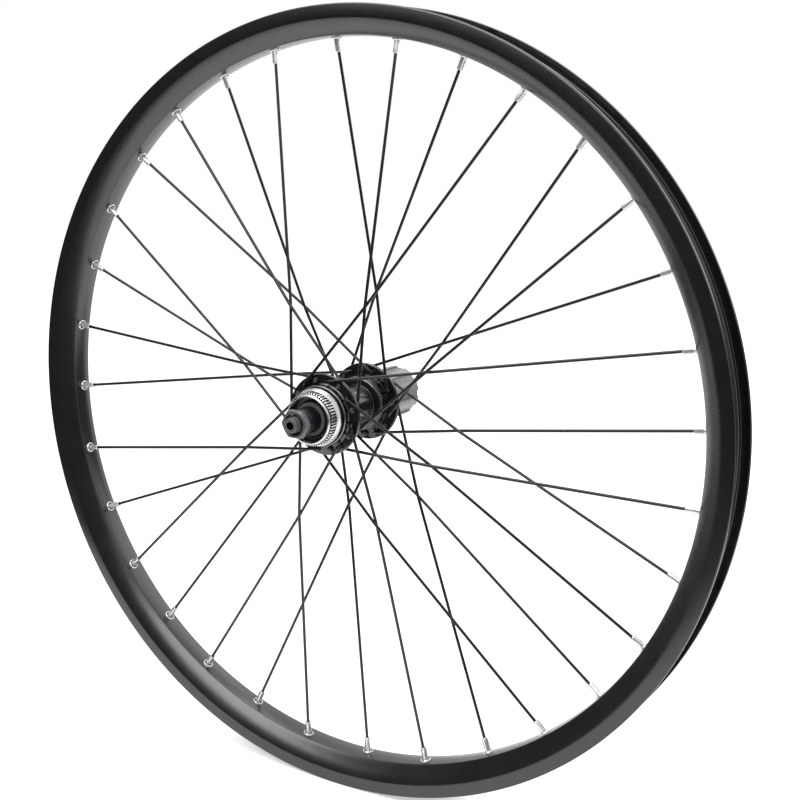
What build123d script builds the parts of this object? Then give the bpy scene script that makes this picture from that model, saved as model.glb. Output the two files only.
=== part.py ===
from build123d import *
from math import cos, radians, sin
import os

# A rear bicycle wheel with no tyre, in millimetres. It turns about the Y axis, with its middle plane at Y = 0.
# The brake-disc side is at -Y and the sprocket side at +Y. Angles run from +X towards +Z.

os.makedirs("parts", exist_ok=True)

# Rim section
BEAD_SEAT_DIAMETER = 507.0
FLANGE_HEIGHT = 6.0
RIM_DEPTH = 20.0
RIM_WIDTH = 31.5
SIDEWALL_HEIGHT = 9.5
BED_WIDTH = 13.0
FLANGE_WALL = 2.2
HOOK_REACH = 0.9
HOOK_HEIGHT = 2.6
SEAT_WIDTH = 3.0
WELL_DEPTH = 3.5
WELL_SLOPE = 2.0
WELL_WALL = 1.3
BED_WALL = 1.8
FLANK_WALL = 2.0
VALVE_HOLE_DIAMETER = 8.5
VALVE_ANGLE = 53.65

# Lacing
SPOKES = 32
CROSSES = 3
SPOKE_DIAMETER = 2.0
SPOKE_SIDES = 6
HEAD_DIAMETER = 4.4
HEAD_HEIGHT = 1.5
HEAD_SEAT_GAP = 0.02
ELBOW_REACH = 4.7
WEAVE_GAP = 0.1
HOLE_STAGGER = 1.5
HUB_HOLE_DIAMETER = 2.9

# Nipples and eyelets
NIPPLE_ACROSS_FLATS = 3.3
NIPPLE_SHOWING = 9.3
NIPPLE_HEAD = 5.8
NIPPLE_HEAD_HEIGHT = 2.0
NIPPLE_SEAT_GAP = 0.75
NIPPLE_BORE_GAP = 0.05
SPOKE_HOLE_GAP = 0.55
EYELET_DIAMETER = 7.3
EYELET_THICKNESS = 0.9
EYELET_SEAT_GAP = 0.03
EYELET_BORE_GAP = 0.35

# Hub shell, from the disc side to the sprocket side
HUB_WIDTH = 135.0
DISC_FLANGE_SETBACK = 34.8
DISC_FLANGE_DIAMETER = 53.0
DRIVE_FLANGE_SETBACK = 50.3
DRIVE_FLANGE_DIAMETER = 51.6
HOLE_TO_EDGE = 4.0
HUB_FLANGE_THICKNESS = 3.0
DISC_ROOT_DIAMETER = 41.0
BOSS_LENGTH = 19.5
BOSS_LIP_DIAMETER = 32.7
BOSS_LIP_LENGTH = 1.5
BOSS_BORE_DIAMETER = 29.5
SPLINE_DIAMETER = 34.5
SPLINE_LENGTH = 7.2
SHOULDER_DIAMETER = 37.5
SHOULDER_LENGTH = 2.0
BARREL_DIAMETER = 25.0
DRUM_DIAMETER = 36.0
DRUM_LENGTH = 8.5
DRIVE_BOSS_LENGTH = 3.2
THROUGH_BORE_DIAMETER = 18.0

# Axle set
AXLE_DIAMETER = 10.0
AXLE_BORE_DIAMETER = 5.2
AXLE_END = 4.5
AXLE_TIP_DIAMETER = 9.5
AXLE_TIP_LENGTH = 4.0
AXLE_GAP = 0.05
LOCKNUT_ACROSS_FLATS = 17.0
LOCKNUT_THICKNESS = 5.0
SPACER_DIAMETER = 17.0
SPACER_LIP_DIAMETER = 21.4
SPACER_LIP_WIDTH = 2.2
BEARING_DIAMETER = 26.0
BEARING_WIDTH = 8.0
BEARING_GAP = 0.05
BEARING_SIDE_GAP = 0.3
DISC_BEARING_RECESS = 5.0
DRIVE_SPACER_LENGTH = 6.0

# Freehub
CORE_DIAMETER = 28.0
CORE_SPIGOT_LENGTH = 14.0
CORE_SEAT_GAP = 0.05
CORE_LIP = 0.5
FREEHUB_SETBACK = 7.8
FREEHUB_SPLINE_LENGTH = 35.0
FREEHUB_CREST_DIAMETER = 34.6
FREEHUB_ROOT_DIAMETER = 32.2
FREEHUB_STOP_DIAMETER = 37.4
FREEHUB_GAP = 0.3
SPLINE_GROOVES = 9
GROOVE_WIDTH = 6.2
KEY_GROOVE_WIDTH = 4.4
LOCKRING_BORE_DIAMETER = 30.5
LOCKRING_BORE_LENGTH = 7.5
RATCHET_TEETH = 24
RATCHET_DEPTH = 0.9
RATCHET_START = 3.5
PAWLS = 2
PAWL_WIDTH = 6.0
PAWL_SIDE_GAP = 0.2
PAWL_TOE_GAP = 0.6
PAWL_TOE_ANGLE = 4.0
PAWL_TOE_HEIGHT = 1.7
PAWL_BACK_GAP = 0.2
PAWL_HEEL_ANGLE = 27.0
PAWL_HEEL_DIAMETER = 2.4
PAWL_HEEL_GAP = 0.08
PAWL_POCKET_DEPTH = 3.0

# Radii and places that follow from them
RIM_RADIUS = BEAD_SEAT_DIAMETER / 2 + FLANGE_HEIGHT
BED_RADIUS = RIM_RADIUS - RIM_DEPTH
PITCH = 360 / SPOKES
HUB_PITCH = 2 * PITCH
LACING_ANGLE = CROSSES * HUB_PITCH
LOCKNUT_FACE = HUB_WIDTH / 2
AXLE_LENGTH = HUB_WIDTH + 2 * AXLE_END
SPACER_END = LOCKNUT_FACE - LOCKNUT_THICKNESS
DISC_FLANGE_Y = DISC_FLANGE_SETBACK - LOCKNUT_FACE
DRIVE_FLANGE_Y = LOCKNUT_FACE - DRIVE_FLANGE_SETBACK
DISC_HOLE_CIRCLE = DISC_FLANGE_DIAMETER / 2 - HOLE_TO_EDGE
DRIVE_HOLE_CIRCLE = DRIVE_FLANGE_DIAMETER / 2 - HOLE_TO_EDGE
DRIVE_BEARING_Y = SPACER_END - DRIVE_SPACER_LENGTH
FREEHUB_END_Y = LOCKNUT_FACE - FREEHUB_SETBACK
DISC_END = DISC_FLANGE_Y - BOSS_LENGTH
DISC_BEARING_Y = DISC_END + DISC_BEARING_RECESS
DRIVE_END = DRIVE_FLANGE_Y + HUB_FLANGE_THICKNESS / 2 + DRIVE_BOSS_LENGTH
CORE_START = DRIVE_END - CORE_SPIGOT_LENGTH
CORE_END = DRIVE_BEARING_Y + CORE_LIP
BEARING_SEAT_RADIUS = BEARING_DIAMETER / 2 + BEARING_GAP
FREEHUB_START = DRIVE_END + FREEHUB_GAP
FREEHUB_BORE_RADIUS = CORE_DIAMETER / 2 + FREEHUB_GAP
RATCHET_Y = FREEHUB_START + RATCHET_START
TOOTH_ANGLE = 360 / RATCHET_TEETH


def around(radius, angle, y):
    """A point at a radius and an angle about the axle."""
    return Vector(radius * cos(radians(angle)), y, radius * sin(radians(angle)))


def across(y):
    """A plane square to the axle whose sketches are seen from the disc side, extruded towards -Y."""
    return Plane.XZ.offset(-y)


def hole_plane(index, radius):
    """The plane across spoke hole number index of the rim, facing outwards."""
    angle = hole_angle(index)
    return Plane(around(radius, angle, hole_side(index) * HOLE_STAGGER), x_dir=(0, 1, 0), z_dir=around(1, angle, 0))


def hole_angle(index):
    """Holes are counted from the valve hole, which lies half way between two of them."""
    return VALVE_ANGLE + PITCH * (index + 0.5)


def hole_side(index):
    """-1 where the spoke goes to the disc flange, +1 where it goes to the drive flange."""
    return -1 if index % 2 == 0 else 1


def runs_outside(index):
    """Spokes go in groups of four: one outside each flange, then one inside each flange."""
    return index % 4 < 2


def spoke_points(index):
    """Where a spoke's wire starts at its head, turns at its elbow, weaves at the last crossing and enters the rim."""
    side = hole_side(index)
    outside = runs_outside(index)
    flange_y = DISC_FLANGE_Y if side < 0 else DRIVE_FLANGE_Y
    hole_circle = DISC_HOLE_CIRCLE if side < 0 else DRIVE_HOLE_CIRCLE
    turn = 1 if outside else -1
    hub_angle = hole_angle(index) + turn * LACING_ANGLE
    cross_angle = hub_angle - turn * (LACING_ANGLE - HUB_PITCH / 2)
    out = side * turn
    head = around(hole_circle, hub_angle, flange_y - out * (HUB_FLANGE_THICKNESS / 2 + HEAD_SEAT_GAP))
    elbow = around(hole_circle, hub_angle, flange_y + out * ELBOW_REACH)
    rim = around(BED_RADIUS, hole_angle(index), side * HOLE_STAGGER)
    middle = around(hole_circle, hub_angle, flange_y)
    ray = around(1, cross_angle, 0)
    before = middle.X * ray.Z - middle.Z * ray.X
    after = rim.X * ray.Z - rim.Z * ray.X
    crossing = middle + (rim - middle) * (before / (before - after))
    crossing.Y -= out * (SPOKE_DIAMETER + WEAVE_GAP) / 2
    return head, elbow, crossing, rim


# Rim: one hollow extruded section, rolled into a ring
half_width = RIM_WIDTH / 2
wall_y = half_width - FLANGE_WALL
seat_radius = RIM_RADIUS - FLANGE_HEIGHT
well_radius = seat_radius - WELL_DEPTH
crease_radius = RIM_RADIUS - SIDEWALL_HEIGHT
chamber_top = well_radius - WELL_WALL
chamber_bed = BED_RADIUS + BED_WALL
flank_slope = (half_width - BED_WIDTH / 2) / (crease_radius - BED_RADIUS)
chamber_top_y = half_width - FLANK_WALL - flank_slope * (crease_radius - chamber_top)
chamber_bed_y = BED_WIDTH / 2 - FLANK_WALL + flank_slope * BED_WALL
hole_planes = [hole_plane(index, BED_RADIUS - 1) for index in range(SPOKES)]
valve_plane = Plane((0, 0, 0), x_dir=(0, 1, 0), z_dir=around(1, VALVE_ANGLE, 0))

with BuildPart() as rim:
    with BuildSketch():
        with BuildLine():
            Polyline(
                (BED_RADIUS, 0),
                (BED_RADIUS, BED_WIDTH / 2),
                (crease_radius, half_width),
                (RIM_RADIUS, half_width),
                (RIM_RADIUS, wall_y - HOOK_REACH),
                (RIM_RADIUS - HOOK_HEIGHT, wall_y),
                (seat_radius, wall_y),
                (seat_radius, wall_y - SEAT_WIDTH),
                (well_radius, wall_y - SEAT_WIDTH - WELL_SLOPE),
                (well_radius, 0),
                close=True,
            )
        make_face()
        with BuildLine():
            Polyline(
                (chamber_bed, 0),
                (chamber_bed, chamber_bed_y),
                (chamber_top, chamber_top_y),
                (chamber_top, 0),
                close=True,
            )
        make_face(mode=Mode.SUBTRACT)
        mirror(about=Plane.XZ)
    revolve(axis=Axis.Y)
    with BuildSketch(*hole_planes):
        Rectangle(NIPPLE_ACROSS_FLATS + 2 * SPOKE_HOLE_GAP, NIPPLE_ACROSS_FLATS + 2 * SPOKE_HOLE_GAP)
    extrude(amount=1 + BED_WALL + 1, mode=Mode.SUBTRACT)
    with BuildSketch(valve_plane):
        Circle(VALVE_HOLE_DIAMETER / 2)
    extrude(amount=RIM_RADIUS, mode=Mode.SUBTRACT)
rim.part.label = "rim"
export_step(rim.part, "parts/rim.step")

# Eyelets: one ring under each spoke hole
eyelet_planes = [hole_plane(index, BED_RADIUS - EYELET_SEAT_GAP - EYELET_THICKNESS) for index in range(SPOKES)]

with BuildPart() as eyelets:
    with BuildSketch(*eyelet_planes):
        RegularPolygon(EYELET_DIAMETER / 2, SPOKE_SIDES)
        Rectangle(
            NIPPLE_ACROSS_FLATS + 2 * EYELET_BORE_GAP,
            NIPPLE_ACROSS_FLATS + 2 * EYELET_BORE_GAP,
            mode=Mode.SUBTRACT,
        )
    extrude(amount=EYELET_THICKNESS)
eyelets.part.label = "eyelets"
export_step(eyelets.part, "parts/eyelets.step")

# Nipples: square shanks on the line of each spoke, with their heads inside the rim
tip_planes = []
head_planes = []
for index in range(SPOKES):
    head, elbow, crossing, seat = spoke_points(index)
    along = (seat - crossing).normalized()
    tip_planes.append(Plane(seat - along * NIPPLE_SHOWING, x_dir=(0, 1, 0), z_dir=along))
    head_planes.append(Plane(seat + along * (BED_WALL + NIPPLE_SEAT_GAP), x_dir=(0, 1, 0), z_dir=along))

with BuildPart() as nipples:
    with BuildSketch(*tip_planes):
        Rectangle(NIPPLE_ACROSS_FLATS, NIPPLE_ACROSS_FLATS)
    extrude(amount=NIPPLE_SHOWING + BED_WALL + NIPPLE_SEAT_GAP)
    with BuildSketch(*head_planes):
        Rectangle(NIPPLE_HEAD, NIPPLE_HEAD)
    extrude(amount=NIPPLE_HEAD_HEIGHT)
    with BuildSketch(*tip_planes):
        Rectangle(SPOKE_DIAMETER + 2 * NIPPLE_BORE_GAP, SPOKE_DIAMETER + 2 * NIPPLE_BORE_GAP)
    extrude(amount=NIPPLE_SHOWING, mode=Mode.SUBTRACT)
nipples.part.label = "nipples"
export_step(nipples.part, "parts/nipples.step")

# Spokes: each a bent wire with a head, drawn with few sides because there are so many
for index in range(SPOKES):
    head, elbow, crossing, seat = spoke_points(index)
    neck = (elbow - head).normalized()
    with BuildPart() as spoke:
        with BuildLine() as wire:
            Polyline(head, elbow, crossing, seat)
        with BuildSketch(Plane(head, z_dir=neck)):
            RegularPolygon(SPOKE_DIAMETER / 2, SPOKE_SIDES)
        sweep(path=wire.line, transition=Transition.RIGHT)
        with BuildSketch(Plane(head, z_dir=-neck)):
            RegularPolygon(HEAD_DIAMETER / 2, SPOKE_SIDES)
        extrude(amount=HEAD_HEIGHT)
    flange_name = "disc" if hole_side(index) < 0 else "drive"
    run_name = "outer" if runs_outside(index) else "inner"
    node = f"{flange_name}_{run_name}_spoke_{index // 4 + 1}"
    spoke.part.label = node
    export_step(spoke.part, f"parts/{node}.step")

# Hub shell: one turned piece, drilled for the spokes
disc_face_out = DISC_FLANGE_Y - HUB_FLANGE_THICKNESS / 2
disc_face_in = DISC_FLANGE_Y + HUB_FLANGE_THICKNESS / 2
drive_face_in = DRIVE_FLANGE_Y - HUB_FLANGE_THICKNESS / 2
drive_face_out = DRIVE_FLANGE_Y + HUB_FLANGE_THICKNESS / 2
lip_end = DISC_END + BOSS_LIP_LENGTH
spline_end = lip_end + SPLINE_LENGTH
shoulder_end = spline_end + SHOULDER_LENGTH
drum_start = drive_face_in - DRUM_LENGTH
disc_seat_floor = DISC_BEARING_Y + BEARING_WIDTH + BEARING_SIDE_GAP
core_recess_radius = CORE_DIAMETER / 2 + CORE_SEAT_GAP

with BuildPart() as hub_shell:
    with BuildSketch():
        with BuildLine():
            Polyline(
                (BOSS_BORE_DIAMETER / 2, DISC_END),
                (BOSS_LIP_DIAMETER / 2, DISC_END),
                (BOSS_LIP_DIAMETER / 2, lip_end),
                (SPLINE_DIAMETER / 2, lip_end),
                (SPLINE_DIAMETER / 2, spline_end),
                (SHOULDER_DIAMETER / 2, spline_end),
                (SHOULDER_DIAMETER / 2, shoulder_end),
                (DISC_ROOT_DIAMETER / 2, disc_face_out),
                (DISC_FLANGE_DIAMETER / 2, disc_face_out),
                (DISC_FLANGE_DIAMETER / 2, disc_face_in),
                (BARREL_DIAMETER / 2, disc_face_in),
                (BARREL_DIAMETER / 2, drum_start),
                (DRUM_DIAMETER / 2, drum_start),
                (DRUM_DIAMETER / 2, drive_face_in),
                (DRIVE_FLANGE_DIAMETER / 2, drive_face_in),
                (DRIVE_FLANGE_DIAMETER / 2, drive_face_out),
                (DRUM_DIAMETER / 2, drive_face_out),
                (DRUM_DIAMETER / 2, DRIVE_END),
                (core_recess_radius, DRIVE_END),
                (core_recess_radius, CORE_START),
                (THROUGH_BORE_DIAMETER / 2, CORE_START),
                (THROUGH_BORE_DIAMETER / 2, disc_seat_floor),
                (BEARING_SEAT_RADIUS, disc_seat_floor),
                (BEARING_SEAT_RADIUS, DISC_BEARING_Y),
                (BOSS_BORE_DIAMETER / 2, DISC_BEARING_Y),
                close=True,
            )
        make_face()
    revolve(axis=Axis.Y)
    flanges = ((DISC_FLANGE_Y, DISC_HOLE_CIRCLE), (DRIVE_FLANGE_Y, DRIVE_HOLE_CIRCLE))
    for first, (flange_y, hole_circle) in enumerate(flanges):
        start = hole_angle(first) + LACING_ANGLE
        with BuildSketch(across(flange_y + HUB_FLANGE_THICKNESS)):
            with PolarLocations(hole_circle, SPOKES // 2, start_angle=start):
                RegularPolygon(HUB_HOLE_DIAMETER / 2, SPOKE_SIDES)
        extrude(amount=2 * HUB_FLANGE_THICKNESS, mode=Mode.SUBTRACT)
hub_shell.part.label = "hub_shell"
export_step(hub_shell.part, "parts/hub_shell.step")

# Axle: a hollow spindle for a quick-release skewer, with plain tips for the frame's slots
with BuildPart() as axle:
    with BuildSketch(across(AXLE_LENGTH / 2 - AXLE_TIP_LENGTH)):
        Circle(AXLE_DIAMETER / 2)
    extrude(amount=AXLE_LENGTH - 2 * AXLE_TIP_LENGTH)
    with BuildSketch(across(AXLE_LENGTH / 2), across(AXLE_TIP_LENGTH - AXLE_LENGTH / 2)):
        Circle(AXLE_TIP_DIAMETER / 2)
    extrude(amount=AXLE_TIP_LENGTH)
    with BuildSketch(across(AXLE_LENGTH / 2)):
        Circle(AXLE_BORE_DIAMETER / 2)
    extrude(amount=AXLE_LENGTH, mode=Mode.SUBTRACT)
axle.part.label = "axle"
export_step(axle.part, "parts/axle.step")

# Locknuts: one at each end, whose outer faces stand against the frame
axle_hole_radius = AXLE_DIAMETER / 2 + AXLE_GAP

with BuildPart() as locknuts:
    with BuildSketch(across(LOCKNUT_FACE), across(-SPACER_END)):
        RegularPolygon(LOCKNUT_ACROSS_FLATS / 2, 6, major_radius=False)
        Circle(axle_hole_radius, mode=Mode.SUBTRACT)
    extrude(amount=LOCKNUT_THICKNESS)
locknuts.part.label = "locknuts"
export_step(locknuts.part, "parts/locknuts.step")

# Spacers: a sleeve with a dust lip between each bearing and its locknut
with BuildPart() as spacers:
    with BuildSketch():
        for bearing_y, side in ((DISC_BEARING_Y, -1), (DRIVE_BEARING_Y, 1)):
            with BuildLine():
                Polyline(
                    (axle_hole_radius, bearing_y),
                    (SPACER_LIP_DIAMETER / 2, bearing_y),
                    (SPACER_LIP_DIAMETER / 2, bearing_y + side * SPACER_LIP_WIDTH),
                    (SPACER_DIAMETER / 2, bearing_y + side * SPACER_LIP_WIDTH),
                    (SPACER_DIAMETER / 2, side * SPACER_END),
                    (axle_hole_radius, side * SPACER_END),
                    close=True,
                )
            make_face()
    revolve(axis=Axis.Y)
spacers.part.label = "spacers"
export_step(spacers.part, "parts/spacers.step")

# Bearings: two sealed cartridges on the axle
with BuildPart() as bearings:
    with BuildSketch(across(DISC_BEARING_Y + BEARING_WIDTH), across(DRIVE_BEARING_Y)):
        Circle(BEARING_DIAMETER / 2)
        Circle(axle_hole_radius, mode=Mode.SUBTRACT)
    extrude(amount=BEARING_WIDTH)
bearings.part.label = "bearings"
export_step(bearings.part, "parts/bearings.step")

# Freehub core: a sleeve fixed in the hub shell, with pockets for the pawls and a seat for the outer bearing
core_radius = CORE_DIAMETER / 2
core_seat_floor = DRIVE_BEARING_Y - BEARING_WIDTH - BEARING_SIDE_GAP
pocket_radius = core_radius - PAWL_POCKET_DEPTH
heel_radius = core_radius - PAWL_HEEL_DIAMETER / 2
pawl_angles = [360 / PAWLS * number for number in range(PAWLS)]


def flat_point(radius, angle):
    """A point of a sketch square to the axle."""
    return radius * cos(radians(angle)), radius * sin(radians(angle))


def wedge(inner, outer, first, last):
    """A four-cornered patch between two radii and two angles, for a sketch square to the axle."""
    return flat_point(inner, first), flat_point(outer, first), flat_point(outer, last), flat_point(inner, last)


with BuildPart() as freehub_core:
    with BuildSketch():
        with BuildLine():
            Polyline(
                (THROUGH_BORE_DIAMETER / 2, CORE_START),
                (core_radius, CORE_START),
                (core_radius, CORE_END),
                (BEARING_SEAT_RADIUS, CORE_END),
                (BEARING_SEAT_RADIUS, core_seat_floor),
                (THROUGH_BORE_DIAMETER / 2, core_seat_floor),
                close=True,
            )
        make_face()
    revolve(axis=Axis.Y)
    with BuildSketch(across(RATCHET_Y + PAWL_WIDTH + PAWL_SIDE_GAP)):
        for base in pawl_angles:
            Polygon(*wedge(pocket_radius, 2 * core_radius, base - 2, base + PAWL_HEEL_ANGLE), align=None)
            with Locations(flat_point(heel_radius, base + PAWL_HEEL_ANGLE)):
                Circle(PAWL_HEEL_DIAMETER / 2 + PAWL_HEEL_GAP)
    extrude(amount=PAWL_WIDTH + 2 * PAWL_SIDE_GAP, mode=Mode.SUBTRACT)
freehub_core.part.label = "freehub_core"
export_step(freehub_core.part, "parts/freehub_core.step")

# Pawls: each turns on its round heel in its pocket, with its toe in a notch of the ratchet
toe_radius = FREEHUB_BORE_RADIUS + RATCHET_DEPTH - PAWL_TOE_GAP
back_radius = core_radius - PAWL_BACK_GAP

for number, base in enumerate(pawl_angles, start=1):
    toe_angle = base + PAWL_TOE_ANGLE
    heel_angle = base + PAWL_HEEL_ANGLE
    with BuildPart() as pawl:
        with BuildSketch(across(RATCHET_Y + PAWL_WIDTH)):
            Polygon(
                flat_point(toe_radius - PAWL_TOE_HEIGHT, toe_angle),
                flat_point(toe_radius, toe_angle),
                flat_point(back_radius, toe_angle + TOOTH_ANGLE / 2),
                flat_point(back_radius, heel_angle),
                flat_point(back_radius - PAWL_HEEL_DIAMETER + PAWL_BACK_GAP, heel_angle),
                align=None,
            )
            with Locations(flat_point(heel_radius, heel_angle)):
                Circle(PAWL_HEEL_DIAMETER / 2)
        extrude(amount=PAWL_WIDTH)
    node = f"pawl_{number}"
    pawl.part.label = node
    export_step(pawl.part, f"parts/{node}.step")

# Freehub shell: splined outside for the sprockets, with a saw-toothed ratchet inside
spline_start = FREEHUB_END_Y - FREEHUB_SPLINE_LENGTH
lockring_start = FREEHUB_END_Y - LOCKRING_BORE_LENGTH
groove_depth = (FREEHUB_CREST_DIAMETER - FREEHUB_ROOT_DIAMETER) / 2
groove_middle = FREEHUB_ROOT_DIAMETER / 2 + groove_depth
groove_pitch = 360 / SPLINE_GROOVES
ratchet_length = PAWL_WIDTH + 2 * PAWL_SIDE_GAP

with BuildPart() as freehub_shell:
    with BuildSketch():
        with BuildLine():
            Polyline(
                (FREEHUB_BORE_RADIUS, FREEHUB_START),
                (FREEHUB_STOP_DIAMETER / 2, FREEHUB_START),
                (FREEHUB_STOP_DIAMETER / 2, spline_start),
                (FREEHUB_CREST_DIAMETER / 2, spline_start),
                (FREEHUB_CREST_DIAMETER / 2, FREEHUB_END_Y),
                (LOCKRING_BORE_DIAMETER / 2, FREEHUB_END_Y),
                (LOCKRING_BORE_DIAMETER / 2, lockring_start),
                (FREEHUB_BORE_RADIUS, lockring_start),
                close=True,
            )
        make_face()
    revolve(axis=Axis.Y)
    with BuildSketch(across(FREEHUB_END_Y)):
        with PolarLocations(groove_middle, SPLINE_GROOVES - 1, groove_pitch, (SPLINE_GROOVES - 2) * groove_pitch):
            Rectangle(2 * groove_depth, GROOVE_WIDTH)
        with PolarLocations(groove_middle, 1):
            Rectangle(2 * groove_depth, KEY_GROOVE_WIDTH)
    extrude(amount=FREEHUB_SPLINE_LENGTH, mode=Mode.SUBTRACT)
    with BuildSketch(across(RATCHET_Y + PAWL_WIDTH + PAWL_SIDE_GAP)):
        with PolarLocations(0, RATCHET_TEETH):
            Polygon(
                (FREEHUB_BORE_RADIUS - RATCHET_DEPTH, 0),
                (FREEHUB_BORE_RADIUS + RATCHET_DEPTH, 0),
                flat_point(FREEHUB_BORE_RADIUS, TOOTH_ANGLE - 1),
                align=None,
            )
    extrude(amount=ratchet_length, mode=Mode.SUBTRACT)
freehub_shell.part.label = "freehub_shell"
export_step(freehub_shell.part, "parts/freehub_shell.step")
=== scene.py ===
# %% [markdown]
# # A rear bicycle wheel
# This lesson dresses a bare wheel: a black rim, 32 black spokes with silver nipples, and a hub with a silver boss for
# a brake disc and a splined freehub for sprockets. The sizes, places and joints come from a CAD model, which is
# loaded first. Each CAD node is then left in place with a better finish, or hidden behind a finer piece.
# The wheel turns about the Y axis, and its middle is the origin.

# %% Load the wheel
from math import atan2, cos, pi, radians, sin, sqrt, tan

import bmesh
import bpy
from mathutils import Matrix, Vector


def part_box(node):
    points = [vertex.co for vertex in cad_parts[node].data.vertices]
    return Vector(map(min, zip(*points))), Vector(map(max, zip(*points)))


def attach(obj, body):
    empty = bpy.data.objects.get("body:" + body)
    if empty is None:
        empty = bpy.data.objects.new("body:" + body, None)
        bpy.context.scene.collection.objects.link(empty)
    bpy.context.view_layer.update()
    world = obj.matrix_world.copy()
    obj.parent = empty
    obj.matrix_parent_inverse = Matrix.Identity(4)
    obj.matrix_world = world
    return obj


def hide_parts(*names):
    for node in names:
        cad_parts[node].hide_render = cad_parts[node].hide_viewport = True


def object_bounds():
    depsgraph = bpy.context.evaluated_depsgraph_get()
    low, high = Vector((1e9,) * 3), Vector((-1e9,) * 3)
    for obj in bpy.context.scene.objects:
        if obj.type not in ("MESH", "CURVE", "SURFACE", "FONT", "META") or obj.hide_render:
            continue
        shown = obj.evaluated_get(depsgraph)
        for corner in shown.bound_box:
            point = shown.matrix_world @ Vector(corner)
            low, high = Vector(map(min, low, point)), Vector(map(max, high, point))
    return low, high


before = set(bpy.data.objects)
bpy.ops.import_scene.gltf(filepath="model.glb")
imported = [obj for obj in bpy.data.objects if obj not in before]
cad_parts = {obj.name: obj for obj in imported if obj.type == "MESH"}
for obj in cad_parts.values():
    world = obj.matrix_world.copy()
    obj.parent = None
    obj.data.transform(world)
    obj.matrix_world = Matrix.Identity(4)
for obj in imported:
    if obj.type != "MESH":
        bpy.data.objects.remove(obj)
cad_low, cad_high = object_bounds()
scene = bpy.context.scene
MM = 0.001
print("nodes", len(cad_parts), "box", [round(side / MM, 1) for side in cad_high - cad_low], "mm")

# %% [markdown]
# ## Camera
# The photographer stood a little to the right of the wheel and slightly above its axle, quite close, so the near
# side of the rim looks larger than the far side. The camera could be aimed by eye, but a wheel is full of circles
# that show any mistake, so its direction, distance and lens are worked out numbers. The shift moves the picture
# on the film without turning the camera, as a cropped photograph does.

# %% Camera
VIEW_AZIMUTH = radians(32.54)
VIEW_ELEVATION = radians(8.226)
VIEW_DISTANCE = 0.90981
VIEW_TO_LEFT = 0.00652
VIEW_ABOVE = 0.06332
LENS = 61.98
SHIFT_RIGHT = 0.0727
SHIFT_UP = -0.1132

level = cos(VIEW_ELEVATION)
view_back = Vector((sin(VIEW_AZIMUTH) * level, -cos(VIEW_AZIMUTH) * level, sin(VIEW_ELEVATION)))
view_right = Vector((cos(VIEW_AZIMUTH), sin(VIEW_AZIMUTH), 0))
view_up = view_back.cross(view_right)
bpy.ops.object.camera_add(
    location=view_back * VIEW_DISTANCE - view_right * VIEW_TO_LEFT + view_up * VIEW_ABOVE,
    rotation=view_back.to_track_quat("Z", "Y").to_euler(),
)
camera = bpy.context.object
camera.data.lens = LENS
camera.data.shift_x = SHIFT_RIGHT
camera.data.shift_y = SHIFT_UP
scene.camera = camera
scene.view_settings.view_transform = "Standard"
print("camera at", [round(value, 3) for value in camera.location])

# %% [markdown]
# ## Background, floor and light
# The wheel is shown on pure white. More light would wash out the black parts, so the white is only for the rays
# that look straight at it: the Light Path node tells camera, mirror and glass rays from those that carry light.
# The floor does the same, but keeps a part of its own shading, so that the wheel's soft shadow stays on it.

# %% White surroundings
SKY_LIGHT = 0.7
FLOOR_GLOW = 0.46
FLOOR_SIZE = 12


def seen_directly(tree):
    """1 for rays that look at the background directly, in a mirror or through glass, and 0 for the rest."""
    path = tree.nodes.new("ShaderNodeLightPath")
    first = tree.nodes.new("ShaderNodeMath")
    first.operation = "MAXIMUM"
    tree.links.new(path.outputs["Is Camera Ray"], first.inputs[0])
    tree.links.new(path.outputs["Is Glossy Ray"], first.inputs[1])
    both = tree.nodes.new("ShaderNodeMath")
    both.operation = "MAXIMUM"
    tree.links.new(first.outputs[0], both.inputs[0])
    tree.links.new(path.outputs["Is Transmission Ray"], both.inputs[1])
    return both.outputs[0]


world = bpy.data.worlds.new("white_studio")
world.use_nodes = True
scene.world = world
sky = world.node_tree.nodes["Background"]
sky.inputs["Color"].default_value = (1, 1, 1, 1)
sky.inputs["Strength"].default_value = SKY_LIGHT
paper = world.node_tree.nodes.new("ShaderNodeBackground")
paper.inputs["Color"].default_value = (1, 1, 1, 1)
paper.inputs["Strength"].default_value = 1
choice = world.node_tree.nodes.new("ShaderNodeMixShader")
world.node_tree.links.new(seen_directly(world.node_tree), choice.inputs["Fac"])
world.node_tree.links.new(sky.outputs[0], choice.inputs[1])
world.node_tree.links.new(paper.outputs[0], choice.inputs[2])
world.node_tree.links.new(choice.outputs[0], world.node_tree.nodes["World Output"].inputs["Surface"])

bpy.ops.object.select_all(action="DESELECT")
bpy.ops.mesh.primitive_plane_add(size=FLOOR_SIZE, location=(0, 0, cad_low.z))
floor = bpy.context.object
floor.name = "floor"
floor_paper = bpy.data.materials.new("floor_paper")
floor_paper.use_nodes = True
floor_tree = floor_paper.node_tree
floor_shader = floor_tree.nodes["Principled BSDF"]
floor_shader.inputs["Base Color"].default_value = (0.85, 0.85, 0.85, 1)
floor_shader.inputs["Roughness"].default_value = 0.9
floor_shader.inputs["Specular IOR Level"].default_value = 0
floor_shader.inputs["Emission Color"].default_value = (1, 1, 1, 1)
glow = floor_tree.nodes.new("ShaderNodeMath")
glow.operation = "MULTIPLY"
glow.inputs[1].default_value = FLOOR_GLOW
floor_tree.links.new(seen_directly(floor_tree), glow.inputs[0])
floor_tree.links.new(glow.outputs[0], floor_shader.inputs["Emission Strength"])
floor.data.materials.append(floor_paper)
print("floor at", round(cad_low.z, 4))

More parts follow.
